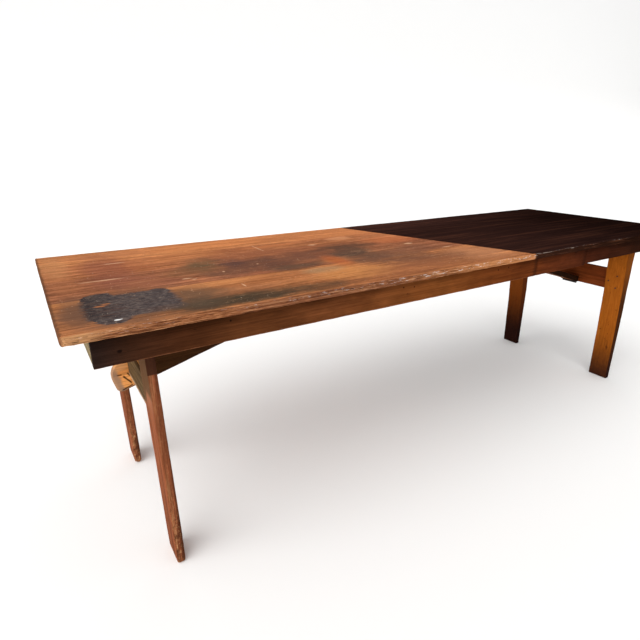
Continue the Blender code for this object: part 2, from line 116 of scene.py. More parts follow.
def box_grid(size, cuts):
    """Points and quads of a closed box, cut at the given stations along each axis."""
    points, quads, start = [], [], 0
    for axis in range(3):
        a, b = [i for i in range(3) if i != axis]
        for side in (0, 1):
            ga, gb = np.meshgrid(cuts[a], cuts[b], indexing="ij")
            face = np.zeros((ga.size, 3))
            face[:, a], face[:, b] = ga.ravel(), gb.ravel()
            face[:, axis] = size[axis] * side
            index = np.arange(ga.size).reshape(ga.shape) + start
            quad = np.stack([index[:-1, :-1], index[1:, :-1], index[1:, 1:], index[:-1, 1:]], -1)
            quad = quad.reshape(-1, 4)
            outward = (side == 1) == (axis != 1)
            quads.append(quad if outward else quad[:, ::-1])
            points.append(face)
            start += ga.size
    p = np.concatenate(points)
    _, first, back = np.unique(np.round(p * 1e6).astype(np.int64), axis=0,
                               return_index=True, return_inverse=True)
    return p[first], back.reshape(-1)[np.concatenate(quads)]


def round_corners(p, size, corners):
    """Round the box's upright corners in plan. Each is given as x, y and radius."""
    for cx, cy, radius in corners:
        sx = 1 if cx < size[0] / 2 else -1
        sy = 1 if cy < size[1] / 2 else -1
        dx, dy = radius - (p[:, 0] - cx) * sx, radius - (p[:, 1] - cy) * sy
        d = np.hypot(dx, dy)
        over = (dx > 0) & (dy > 0) & (d > radius)
        scale = radius / np.maximum(d, 1e-9)
        p[over, 0] = (cx + sx * (radius - dx * scale))[over]
        p[over, 1] = (cy + sy * (radius - dy * scale))[over]


def board(name, low, high, body, mat, slot, nodes, step=(0.012, 0.01, 0.01), radius=0.0022,
          rough=0.0003, seed=1, grain=0, radius_at=None, shape=None, corners=(), sharp_y=()):
    """A sawn board between two corners, with uneven rounded edges and a slightly uneven face.

    radius_at(p, size) gives the edge radius at points p. shape(p) moves the finished points, given
    from the low corner, to their places. sharp_y lists where shape makes a step along y.
    """
    low, high = np.array(low, float), np.array(high, float)
    size = high - low
    cuts = [stations(size[i], step[i]) for i in range(3)]
    cuts[1] = np.array(sorted(set(cuts[1]) | {y + d for y in sharp_y for d in (-0.0003, 0.0003)}))
    p, quads = box_grid(size, cuts)

    at = p + low
    if radius_at is None:
        r = radius * (1 + 0.45 * fuzz(at, 0.03, seed) + 0.35 * fuzz(at, 0.009, seed + 3))
    else:
        r = radius_at(at, size)
    r = np.clip(r, 0.0003, size.min() * 0.49)[:, None]
    core = np.clip(p, r, size - r)
    out = p - core
    normal = out / np.maximum(np.linalg.norm(out, axis=1, keepdims=True), 1e-9)
    fine, coarse = np.full(3, 0.012), np.full(3, 0.06)
    fine[grain], coarse[grain] = 0.09, 0.35
    bump = fuzz(at, coarse, seed + 7) * rough * 1.2 + fuzz(at, fine, seed + 9, 2) * rough * 0.6
    p = core + normal * r + normal * np.minimum(bump, 0.0)[:, None]
    round_corners(p, size, corners)
    p = (shape(p) if shape else p + low) + ORIGIN

    mesh = bpy.data.meshes.new(name)
    mesh.from_pydata(p.tolist(), [], quads.tolist())
    mesh.update()
    mesh.shade_smooth()
    mesh.materials.append(mat)
    ob = bpy.data.objects.new(name, mesh)
    bpy.context.scene.collection.objects.link(ob)
    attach(ob, body)
    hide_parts(*nodes)


# ======== material graphs

class Graph:
    """Writes a material's nodes as expressions. Coordinates are the frame's own, at rest."""

    def __init__(self, name, metallic=0.0):
        self.mat = bpy.data.materials.new(name)
        self.mat.use_nodes = True
        self.tree = self.mat.node_tree
        self.shader = self.tree.nodes["Principled BSDF"]
        self.shader.inputs["Metallic"].default_value = metallic
        self.p = self.new("ShaderNodeTexCoord").outputs["Object"]
        parts = self.new("ShaderNodeSeparateXYZ")
        self.put(parts.inputs[0], self.p)
        self.x = self.math("ADD", parts.outputs[0], LENGTH / 2)
        self.y = self.math("ADD", parts.outputs[1], WIDTH / 2)
        self.z = self.math("SUBTRACT", parts.outputs[2], HEIGHT)
        self.colour = None

    def new(self, kind, **settings):
        node = self.tree.nodes.new(kind)
        for key, value in settings.items():
            setattr(node, key, value)
        return node

    def put(self, socket, value):
        if isinstance(value, bpy.types.NodeSocket):
            self.tree.links.new(value, socket)
        else:
            socket.default_value = value

    def math(self, op, a, b=None, clamp=False):
        node = self.new("ShaderNodeMath", operation=op, use_clamp=clamp)
        self.put(node.inputs[0], a)
        if b is not None:
            self.put(node.inputs[1], b)
        return node.outputs[0]

    def add(self, a, b, clamp=False):
        return self.math("ADD", a, b, clamp)

    def less(self, a, b):
        return self.math("SUBTRACT", a, b)

    def most(self, a, b):
        return self.math("MAXIMUM", a, b)

    def times(self, *values):
        result = values[0]
        for value in values[1:]:
            result = self.math("MULTIPLY", result, value)
        return result

    def mapped(self, scale, offset=(0, 0, 0)):
        node = self.new("ShaderNodeMapping")
        self.put(node.inputs["Vector"], self.p)
        node.inputs["Scale"].default_value = scale
        node.inputs["Location"].default_value = offset
        return node.outputs[0]

    def noise(self, scale, offset=(0, 0, 0), detail=3.0, rough=0.55, distort=0.0):
        node = self.new("ShaderNodeTexNoise")
        self.put(node.inputs["Vector"], self.mapped(scale, offset))
        node.inputs["Scale"].default_value = 1.0
        node.inputs["Detail"].default_value = detail
        node.inputs["Roughness"].default_value = rough
        node.inputs["Distortion"].default_value = distort
        return node.outputs["Fac"]

    def smooth(self, value, low, high, to_low=0.0, to_high=1.0):
        node = self.new("ShaderNodeMapRange", interpolation_type="SMOOTHSTEP")
        self.put(node.inputs["Value"], value)
        for key, number in (("From Min", low), ("From Max", high), ("To Min", to_low),
                            ("To Max", to_high)):
            node.inputs[key].default_value = number
        return node.outputs[0]

    def under(self, value, low, high):
        """1 up to low, 0 from high on."""
        return self.smooth(value, low, high, 1.0, 0.0)

    def band(self, value, low, high, soft):
        return self.times(self.smooth(value, low - soft, low + soft),
                          self.under(value, high - soft, high + soft))

    def mix(self, factor, a, b, blend="MIX"):
        node = self.new("ShaderNodeMix", data_type="RGBA", blend_type=blend)
        self.put(node.inputs[0], factor)
        self.put(node.inputs[6], a)
        self.put(node.inputs[7], b)
        return node.outputs[2]

    def cover(self, colour, over, *masks):
        """Lay a colour over another where the product of the masks is high."""
        return self.mix(self.times(*masks), colour, over)

    def paint(self, over, *masks):
        """Lay a colour over the material's own where the product of the masks is high."""
        self.colour = self.cover(self.colour, over, *masks)

    def shade(self, factor):
        """Multiply the material's own colour by a number."""
        self.colour = self.tint(self.colour, factor)

    def tint(self, colour, factor):
        """Multiply a colour by a number."""
        grey = self.new("ShaderNodeCombineColor")
        for socket in grey.inputs:
            self.put(socket, factor)
        return self.mix(1.0, colour, grey.outputs[0], "MULTIPLY")

    def ramp(self, factor, stops):
        node = self.new("ShaderNodeValToRGB")
        self.put(node.inputs[0], factor)
        ramp = node.color_ramp
        while len(ramp.elements) < len(stops):
            ramp.elements.new(0.5)
        for element, (position, colour) in zip(ramp.elements, stops):
            element.position = position
            element.color = colour
        return node.outputs[0]

    def blob(self, cx, cy, rx, ry, wobble, soft=0.45, reach=0.5):
        """1 inside an uneven oval stain on the top, 0 outside."""
        centre = (-(cx - LENGTH / 2) / rx, -(cy - WIDTH / 2) / ry, 0)
        node = self.new("ShaderNodeVectorMath", operation="LENGTH")
        self.put(node.inputs[0], self.mapped((1 / rx, 1 / ry, 0), centre))
        distance = self.math("ADD", node.outputs["Value"], self.times(wobble, reach))
        return self.under(distance, 1 - soft, 1 + soft)

    def finish(self, roughness, height, strength, distance, specular):
        self.put(self.shader.inputs["Base Color"], self.colour)
        self.put(self.shader.inputs["Roughness"], roughness)
        self.shader.inputs["Specular IOR Level"].default_value = specular
        bump = self.new("ShaderNodeBump")
        bump.inputs["Strength"].default_value = strength
        bump.inputs["Distance"].default_value = distance
        self.put(bump.inputs["Height"], height)
        self.put(self.shader.inputs["Normal"], bump.outputs[0])
        return self.mat


def along(grain, lengthwise, across):
    """A noise scale stretched along one axis."""
    return tuple(lengthwise if i == grain else across for i in range(3))


def shown(r, g, b, light=1.12, haze=0.0):
    """The base colour that shows as this display colour under that much light."""
    return tuple(max((c - haze) / light, 0.0005) for c in srgb(r, g, b)[:3]) + (1.0,)


def grain_layers(g, grain, seed, tones, contrast):
    """Paint the wood from three tones, with broad streaks, fibres and pores. Returns the fibre
    and pore values, and a slow blotch value."""
    s = seed * 1.37
    broad = g.noise(along(grain, 1.6, 36), (s, s * 2, s * 3), 5, 0.65, 0.5)
    mid = g.noise(along(grain, 5.0, 150), (s * 3, s, s * 5), 4, 0.65, 0.3)
    fibre = g.noise(along(grain, 11, 420), (s * 4, s, s * 2), 3, 0.65)
    pore = g.noise(along(grain, 26, 800), (s, s * 5, s), 2, 0.5)
    blotch = g.noise((2.6, 5.5, 5.5), (s * 2, s, s * 4), 4, 0.6)
    dark, base, light = tones
    g.colour = g.ramp(broad, [(0.30, dark), (0.45, base), (0.56, base), (0.72, light)])
    fine = g.smooth(fibre, 0.30, 0.70, 1 - 0.30 * contrast, 1 + 0.24 * contrast)
    fine = g.times(fine, g.smooth(mid, 0.32, 0.68, 1 - 0.30 * contrast, 1 + 0.26 * contrast))
    g.shade(fine)
    pores = g.smooth(pore, 0.60, 0.72)
    g.paint(dark, pores, 0.45 * contrast)
    return fibre, pores, blotch


# ======== the top's wood

# Round lobes of the black patch: x, y, reach along x and y.
LOBES = (
    (0.1, 0.226, 0.038, 0.038), (0.106, 0.066, 0.038, 0.038), (0.235, 0.212, 0.026, 0.026),
)

# Places where the varnish drifts in hue: x, y, reach along x and y, strength, display colour.
HUES = (
    (0.165, 0.5, 0.06, 0.19, 0.55, (136, 80, 64)), (0.2, 0.33, 0.075, 0.07, 0.4, (146, 90, 72)),
    (0.27, 0.29, 0.06, 0.035, 0.35, (140, 86, 70)), (0.035, 0.6, 0.04, 0.13, 0.45, (196, 138, 92)),
    (0.045, 0.38, 0.035, 0.09, 0.3, (184, 118, 78)), (0.4, 0.56, 0.11, 0.06, 0.4, (200, 128, 80)),
    (0.55, 0.69, 0.26, 0.055, 0.5, (214, 134, 82)), (1.02, 0.66, 0.25, 0.08, 0.4, (204, 128, 80)),
    (1.0, 0.56, 0.05, 0.03, 0.55, (218, 152, 108)), (1.17, 0.58, 0.09, 0.11, 0.35, (200, 124, 80)),
    (0.62, 0.56, 0.12, 0.03, 0.45, (150, 88, 60)), (0.2, 0.69, 0.12, 0.04, 0.45, (168, 108, 76)),
    (0.8, 0.67, 0.1, 0.03, 0.4, (176, 110, 72)), (0.72, 0.56, 0.1, 0.022, 0.5, (198, 122, 76)),
    (0.58, 0.48, 0.22, 0.05, 0.5, (138, 84, 62)), (0.78, 0.46, 0.26, 0.05, 0.5, (140, 86, 62)),
    (1.15, 0.44, 0.12, 0.05, 0.55, (188, 108, 68)), (0.38, 0.205, 0.12, 0.022, 0.6, (204, 134, 84)),
    (0.56, 0.19, 0.09, 0.03, 0.45, (168, 104, 66)), (0.45, 0.165, 0.18, 0.014, 0.45, (150, 92, 58)),
    (0.76, 0.12, 0.11, 0.06, 0.7, (206, 138, 82)), (0.42, 0.12, 0.12, 0.03, 0.35, (158, 104, 76)),
    (0.1, 0.014, 0.14, 0.016, 0.6, (198, 130, 84)), (1.26, 0.12, 0.11, 0.1, 0.55, (188, 130, 94)),
)

# Grey and brown smudges, with the same six values as HUES.
SMUDGES = (
    (0.415, 0.4, 0.055, 0.085, 0.7, (108, 84, 62)), (0.35, 0.35, 0.06, 0.05, 0.4, (124, 88, 62)),
    (0.5, 0.38, 0.045, 0.055, 0.8, (92, 66, 60)), (0.47, 0.3, 0.09, 0.045, 0.6, (106, 74, 60)),
    (0.61, 0.34, 0.13, 0.07, 0.75, (102, 70, 58)), (0.64, 0.255, 0.08, 0.032, 0.75, (98, 74, 60)),
    (0.77, 0.38, 0.12, 0.06, 0.55, (116, 76, 60)), (0.93, 0.42, 0.11, 0.045, 0.8, (88, 64, 52)),
    (0.9, 0.31, 0.075, 0.095, 0.8, (92, 70, 58)), (0.97, 0.2, 0.13, 0.075, 0.65, (112, 78, 62)),
    (1.08, 0.13, 0.15, 0.06, 0.55, (122, 80, 60)), (1.1, 0.27, 0.12, 0.055, 0.5, (122, 82, 64)),
    (0.97, 0.085, 0.18, 0.045, 0.5, (144, 90, 62)), (1.0, 0.03, 0.46, 0.02, 0.45, (140, 86, 58)),
    (0.045, 0.16, 0.03, 0.09, 0.6, (112, 82, 66)), (0.33, 0.12, 0.06, 0.07, 0.45, (118, 88, 66)),
)

# The long black streak beside the dark patch: x, y, reach along x and y, strength.
STREAK = (
    (0.38, 0.06, 0.19, 0.044, 0.65), (0.35, 0.05, 0.12, 0.034, 0.85),
    (0.55, 0.045, 0.15, 0.03, 0.55), (0.28, 0.08, 0.06, 0.036, 0.65),
)

# Pale scars: x, y, reach along x and y.
SCARS = (
    (0.14, 0.384, 0.05, 0.004), (0.195, 0.568, 0.035, 0.004), (0.434, 0.155, 0.0022, 0.014),
    (0.655, 0.55, 0.0022, 0.045), (0.847, 0.503, 0.014, 0.006), (1.16, 0.352, 0.016, 0.008),
    (0.33, 0.29, 0.012, 0.004), (0.345, 0.275, 0.006, 0.003), (0.56, 0.345, 0.003, 0.003),
    (1.24, 0.24, 0.02, 0.004), (0.44, 0.31, 0.003, 0.005),
)


def black_patch(g, wobble, ragged, streaky, here):
    """A sooty square with round lobes at its corners, a pale scratch and a white drop."""
    u = g.math("ABSOLUTE", g.math("DIVIDE", g.less(g.x, 0.160), 0.102))
    v = g.math("ABSOLUTE", g.math("DIVIDE", g.less(g.y, 0.146), 0.087))
    square = g.math("POWER", g.add(g.math("POWER", u, 7.0), g.math("POWER", v, 7.0)), 1 / 7)
    square = g.add(square, g.times(ragged, 0.34))
    patch = g.under(square, 0.90, 1.10)
    for cx, cy, rx, ry in here(LOBES):
        patch = g.most(patch, g.blob(cx, cy, rx, ry, ragged, soft=0.10, reach=0.8))
    soiled = g.most(g.blob(0.040, 0.110, 0.034, 0.085, wobble, soft=0.6, reach=0.4),
                    g.blob(0.100, 0.026, 0.080, 0.012, wobble, soft=0.6, reach=0.3))
    g.paint(shown(106, 74, 60), soiled, 0.50)
    g.paint(shown(108, 82, 66), g.blob(0.160, 0.135, 0.150, 0.125, wobble), 0.50)
    fade = g.blob(0.245, 0.050, 0.060, 0.035, wobble, soft=0.7)
    blackish = g.ramp(g.noise((70, 110, 60), (3, 8, 0), 6, 0.8),
                   [(0.34, shown(52, 48, 51)), (0.50, shown(80, 71, 70)),
                    (0.68, shown(122, 108, 100))])
    blackish = g.tint(blackish, g.most(g.smooth(g.x, 0.07, 0.15, 0.70, 1.0), g.under(g.y, 0.06, 0.11)))
    g.paint(shown(92, 76, 62), g.blob(0.30, 0.12, 0.05, 0.09, wobble, soft=0.7), 0.45)
    patch = g.times(patch, g.less(1.0, g.times(fade, 0.45)))
    g.paint(blackish, patch, g.smooth(streaky, 0.2, 0.5, 0.90, 1.0))
    scratch = g.blob(0.097, 0.160, 0.012, 0.005, ragged, reach=2.2)
    scratch = g.most(scratch, g.blob(0.108, 0.172, 0.010, 0.004, ragged, reach=2.2))
    g.paint(shown(172, 110, 72), scratch, 0.85)
    drop = g.blob(0.112, 0.051, 0.0066, 0.0044, ragged, soft=0.15, reach=0.4)
    drop = g.most(drop, g.blob(0.1195, 0.052, 0.0030, 0.0020, ragged, soft=0.2, reach=0.3))
    g.paint(shown(240, 238, 236), drop)


def worn_edge(g, wobble, ragged):
    """Worn arris and front edge where the top is lit: raw wood with cracks, its pale tones partly wear
    and partly painted sunlight, and white flecks that are painted glints of light.
    """
    depth = g.add(g.y, g.times(g.add(ragged, g.times(wobble, 0.25)), 0.007))
    sunlit_part = g.under(g.x, DARK_X - 0.005, DARK_X + 0.010)
    worn = g.times(g.under(depth, 0.003, 0.0100), sunlit_part)
    # Raw worn wood, brightened by painted sunlight where the top is lit.
    raw = g.ramp(g.noise((13, 330, 330), (2, 2, 5), 5, 0.72, 0.15),
                 [(0.34, srgb(78, 42, 26)), (0.45, srgb(128, 78, 50)), (0.54, srgb(168, 110, 72)),
                  (0.66, srgb(214, 160, 116))])
    pit = g.smooth(g.noise((46, 300, 300), (7, 2, 5), 5, 0.8), 0.56, 0.64)
    raw = g.cover(raw, srgb(70, 38, 24), pit, 0.70)
    raw = g.cover(raw, srgb(120, 74, 54), g.band(g.x, 0.38, 0.86, 0.10), 0.45)
    raw = g.mix(g.smooth(g.x, 1.00, 1.16, 0.0, 0.55), raw, srgb(216, 146, 94))
    raw = g.mix(g.smooth(g.x, 0.03, 0.10, 0.45, 0.0), raw, srgb(222, 168, 116))
    g.paint(raw, worn)
    crack = g.noise((7, 620, 620), (6, 2, 1), 4, 0.65, 1.2)
    crack = g.times(g.smooth(crack, 0.575, 0.62), g.under(depth, 0.010, 0.022), sunlit_part)
    g.paint(srgb(48, 26, 18), crack, 0.85)
    # White flecks along the worn edge: painted glints of light.
    where = g.add(g.band(g.x, 0.86, 1.42, 0.07), g.smooth(g.x, 0.10, 0.9, 0.15, 0.50), True)
    painted_glints = g.noise((46, 280, 280), (1, 5, 2), 5, 0.8)
    painted_glints = g.times(g.smooth(painted_glints, 0.585, 0.615), g.under(depth, 0.003, 0.006),
                    g.smooth(g.z, -0.013, -0.008), where)
    g.paint(srgb(238, 232, 226), painted_glints)
    return crack


def shaded_front_edge(g):
    """Beyond the line the front edge is in painted shade, coloured like the rail and darker towards
    the right, under a thin pale arris that is a painted highlight.
    """
    front = g.times(g.under(g.y, 0.0015, 0.004), g.smooth(g.x, DARK_X, DARK_X + 0.015))
    shaded_front = g.ramp(g.noise((8, 260, 260), (5, 2, 5), 5, 0.7),
                     [(0.38, shown(24, 13, 9, 0.75)), (0.54, shown(42, 23, 15, 0.75)),
                      (0.72, shown(90, 56, 38, 0.75))])
    shaded_front = g.tint(shaded_front, g.smooth(g.x, 1.45, 2.1, 1.25, 0.70))
    g.paint(shaded_front, front)
    # The thin pale arris is a painted highlight.
    arris = g.times(g.under(g.y, 0.0005, 0.0030), g.smooth(g.z, -0.0032, -0.0018),
                    g.band(g.x, 1.415, 1.76, 0.01),
                    g.smooth(g.noise((34, 80, 80), (5, 5, 5), 4), 0.52, 0.62))
    g.paint(srgb(188, 172, 160), arris, 0.50)


def hue_changes(g, blotch, wobble, here):
    """The varnish drifts between red-brown and amber."""
    g.paint(shown(150, 84, 58), g.smooth(blotch, 0.50, 0.72, 0, 0.45))
    g.paint(shown(204, 136, 84), g.smooth(blotch, 0.47, 0.28, 0, 0.40))
    for cx, cy, rx, ry, amount, hue in here(HUES):
        g.paint(shown(*hue), g.blob(cx, cy, rx, ry, wobble, reach=0.6), amount)


def smudges(g, wobble, streaky, cloud, here):
    """Grey and brown smudges, a pale grey place, a bare orange one and a long black streak."""
    smear = g.times(g.smooth(streaky, 0.25, 0.65, 0.70, 1.25), g.smooth(cloud, 0.32, 0.62, 0.80, 1.20))
    for cx, cy, rx, ry, amount, hue in here(SMUDGES):
        spot = g.blob(cx, cy, rx, ry, wobble, soft=0.6, reach=0.8)
        g.paint(shown(*hue), spot, amount, smear)

    pale = g.blob(0.69, 0.185, 0.060, 0.030, wobble, soft=0.5)
    g.paint(shown(166, 134, 98), pale, 0.55, g.smooth(cloud, 0.35, 0.6, 0.6, 1.1))
    orange = g.blob(0.788, 0.262, 0.030, 0.060, wobble, soft=0.6)
    g.paint(shown(180, 92, 48), orange, 0.55)

    for cx, cy, rx, ry, amount in here(STREAK):
        spot = g.blob(cx, cy, rx, ry, wobble, reach=0.5)
        g.paint(shown(70, 60, 48), spot, amount, smear)


def fine_marks(g, seed, cloud, ragged, here):
    """Long dark grain lines, pale scratches, flecks and pits. Also returns the scratches."""
    lines = g.noise((2.4, 170, 60), (seed, 6, 0), 5, 0.7, 0.8)
    lines = g.times(g.smooth(lines, 0.54, 0.64), g.smooth(cloud, 0.36, 0.58))
    g.paint(shown(96, 54, 36), lines, 0.60)
    hair = g.noise((9, 330, 60), (seed, 3, 0), 3, 0.6, 1.5)
    hair = g.times(g.smooth(hair, 0.62, 0.69), g.smooth(g.noise((5, 9, 9), (2, seed, 0)), 0.46, 0.60))
    g.paint(shown(222, 172, 130), hair, 0.55)
    nick = g.noise((170, 34, 60), (seed, 5, 0), 3, 0.6, 1.0)
    nick = g.times(g.smooth(nick, 0.65, 0.72), g.smooth(g.noise((7, 7, 7), (4, 1, 0)), 0.46, 0.58))
    g.paint(shown(216, 164, 124), nick, 0.55)
    fleck = g.smooth(g.noise((190, 230, 200), (seed, 7, 0), 1, 0.5), 0.735, 0.78)
    g.paint(shown(232, 206, 180), fleck, 0.6)
    pits = g.smooth(g.noise((110, 170, 130), (3, seed, 0), 2, 0.5), 0.68, 0.75)
    g.paint(shown(70, 40, 28), pits, 0.5)
    for cx, cy, rx, ry in here(SCARS):
        mark = g.blob(cx, cy, rx, ry, ragged, soft=0.5, reach=2.0)
        g.paint(shown(226, 180, 142), mark, 0.65)
    return hair


def dark_end(g, seed, fibre, ragged):
    """Painted shadow: the top is nearly black beyond a straight line across the planks."""
    line = g.add(g.add(g.x, g.times(g.y, DARK_SLANT)), g.times(ragged, 0.004))
    dark = g.smooth(line, DARK_X - 0.0015, DARK_X + 0.0015)
    shadow_tones = g.ramp(g.noise(along(0, 2.2, 46), (seed, 1, 2), 4, 0.6, 0.3),
                   [(0.32, shown(36, 21, 18)), (0.50, shown(44, 26, 22)), (0.68, shown(64, 38, 29))])
    fall = g.times(g.smooth(g.x, DARK_X, 2.38, 1.05, 0.36), g.smooth(g.y, 0.50, 0.74, 1.0, 1.55),
                   g.smooth(fibre, 0.3, 0.7, 0.80, 1.20))
    g.paint(g.tint(shadow_tones, fall), dark)


def top_material(index):
    """One plank's varnish. The stains run across the planks, the grain doesn't."""
    g = Graph(f"top_wood_{index}")
    seed = 3.1 * index + 1
    near_y, far_y = PLANK_JOINTS[index - 1], PLANK_JOINTS[index]

    def here(spots):
        """Only the stains that reach this plank."""
        return [spot for spot in spots
                if spot[1] + 1.7 * spot[3] > near_y and spot[1] - 1.7 * spot[3] < far_y]

    tones = [(shown(146, 88, 56), shown(178, 114, 72), shown(208, 140, 90)),
             (shown(128, 78, 55), shown(152, 96, 68), shown(178, 116, 80)),
             (shown(136, 84, 58), shown(170, 107, 71), shown(198, 128, 84)),
             (shown(158, 98, 62), shown(192, 124, 80), shown(216, 143, 92))][index - 1]
    fibre, pores, blotch = grain_layers(g, 0, seed, tones, 0.95)
    wobble = g.times(g.less(g.noise((11, 20, 26), (1.7, 2.2, 0), 5, 0.7), 0.5), 2.4)
    ragged = g.less(g.noise((40, 60, 60), (9, 1, 0), 4, 0.7), 0.5)
    streaky = g.noise((3.5, 75, 70), (4.4, 1.2, 0), 5, 0.65)
    cloud = g.noise((9, 16, 16), (7.1, 3.3, 1.0), 5, 0.7)
    mottle = g.noise((34, 78, 78), (seed, 2.5, 0.5), 6, 0.78, 0.8)
    g.shade(g.smooth(mottle, 0.32, 0.68, 0.76, 1.26))
    g.shade(g.smooth(streaky, 0.32, 0.64, 0.76, 1.22))

    hue_changes(g, blotch, wobble, here)
    smudges(g, wobble, streaky, cloud, here)
    if index <= 2:
        black_patch(g, wobble, ragged, streaky, here)
    hair = fine_marks(g, seed, cloud, ragged, here)

    if index <= 2:
        joint = g.times(g.band(g.y, 0.228, 0.234, 0.002), g.band(g.x, 0.25, 0.75, 0.06), 0.45)
        g.paint(shown(92, 54, 38), joint)
    if index == 4:
        rim = g.smooth(g.add(g.y, g.times(ragged, 0.010)), 0.7545, 0.7585)
        g.paint(shown(206, 160, 118), rim, 0.55)

    dark_end(g, seed, fibre, ragged)

    crack = None
    if index == 1:
        crack = worn_edge(g, wobble, ragged)
    ends = g.under(g.add(g.x, g.times(ragged, 0.012)), 0.002, 0.008)
    g.paint(srgb(84, 58, 44), ends, 0.75)

    if index == 1:
        shaded_front_edge(g)

    gloss = g.add(g.add(g.times(fibre, 0.22), g.times(blotch, 0.20)), 0.45)
    height = g.less(g.times(fibre, 0.55), g.times(pores, 0.5))
    if crack:
        height = g.less(height, g.times(crack, 1.6))
    height = g.less(height, g.times(hair, 0.7))
    height = g.add(height, g.times(g.noise((40, 120, 120), (seed, 0, 0), 3), 0.6))
    return g.finish(gloss, height, strength=0.55, distance=0.0012, specular=0.0)


def wood(name, grain, seed, tones, contrast=1.0, layers=None):
    """Bare or oiled wood. layers(g, ragged) adds a piece's own stains and wear."""
    g = Graph(name)
    fibre, pores, blotch = grain_layers(g, grain, seed, tones, contrast)
    g.paint(tones[0], g.smooth(blotch, 0.50, 0.75, 0, 0.5))
    ragged = g.less(g.noise((50, 50, 50), (seed, 1, 0), 4, 0.7), 0.5)
    if layers:
        layers(g, ragged)
    roughness = g.add(g.times(fibre, 0.25), 0.50)
    height = g.less(g.times(fibre, 0.6), g.times(pores, 0.6))
    height = g.add(height, g.times(g.noise((60, 60, 60), (seed, 4, 0), 3), 0.5))
    return g.finish(roughness, height, strength=0.45, distance=0.0012, specular=0.004)


NEAR = 0.82             # light on a face that looks towards the camera
# The near rail's hues: share of its length, display colour.
RAIL_HUES = (
    (0.022, (42, 30, 26)), (0.05, (54, 32, 21)), (0.10, (72, 40, 22)), (0.17, (90, 51, 27)),
    (0.26, (104, 59, 32)), (0.415, (122, 70, 33)), (0.50, (108, 57, 25)), (0.60, (98, 48, 21)),
    (0.62, (96, 47, 23)), (0.72, (76, 36, 19)), (0.735, (66, 30, 16)), (0.82, (53, 25, 13)),
    (0.92, (38, 18, 9)),
)


def near_rail_layers(g, ragged):
    """Nearly black at the left end, amber along the middle, dark again past the last joint."""
    stops = [(at, shown(*hue, NEAR)) for at, hue in RAIL_HUES]
    shade = g.ramp(g.math("DIVIDE", g.x, LENGTH), stops)
    g.colour = g.mix(1.0, g.colour, shade, "MULTIPLY")
    # Painted shade from the top's overhang darkens the rail's upper part.
    g.shade(g.smooth(g.z, -0.030, -0.055, 0.72, 1.0))
    spots = g.smooth(g.noise((22, 60, 60), (3, 1, 6), 2), 0.68, 0.74)
    g.paint(shown(34, 18, 10, NEAR), spots, 0.6)
    slow = g.noise((9, 20, 20), (6, 1, 2), 3, 0.6)
    for joint in RAIL_BREAKS:
        near_joint = g.times(g.band(g.add(g.x, g.times(ragged, 0.010)), joint - 0.014,
                                    joint + 0.004, 0.012), g.smooth(slow, 0.35, 0.55, 0.4, 1.0))
        g.paint(shown(30, 15, 9, NEAR), near_joint, 0.60)
    g.shade(g.smooth(slow, 0.35, 0.65, 0.82, 1.14))
    arris = g.under(g.add(g.z, g.times(ragged, 0.006)), -0.0890, -0.0860)
    arris = g.times(arris, g.smooth(g.x, 1.2, 1.8, 0.40, 0.12))
    g.paint(shown(150, 96, 66, NEAR), arris)
    for cx, cz, rx, rz in ((0.104, -0.060, 0.0050, 0.0035), (0.345, -0.040, 0.0022, 0.0022),
                           (0.860, -0.040, 0.0026, 0.0022), (0.900, -0.044, 0.0024, 0.0022),
                           (1.260, -0.042, 0.0024, 0.0022), (1.310, -0.040, 0.0022, 0.0020)):
        spot = g.new("ShaderNodeVectorMath", operation="LENGTH")
        g.put(spot.inputs[0], g.mapped((1 / rx, 0, 1 / rz),
                                       (-(cx - LENGTH / 2) / rx, 0, -(HEIGHT + cz) / rz)))
        ring = g.add(spot.outputs["Value"], g.times(ragged, 0.8))
        g.paint(shown(20, 11, 8, NEAR), g.under(ring, 0.7, 1.3), 0.85)


def plain_rail_layers(g, ragged):
    """A few dark spots, and a pale worn lower edge."""
    spots = g.smooth(g.noise((22, 60, 60), (1, 8, 2), 2), 0.70, 0.76)
    g.paint(shown(44, 24, 14), spots, 0.5)
    arris = g.under(g.add(g.z, g.times(ragged, 0.006)), -0.0895, -0.0855)
    g.paint(shown(176, 122, 90), arris, 0.5)


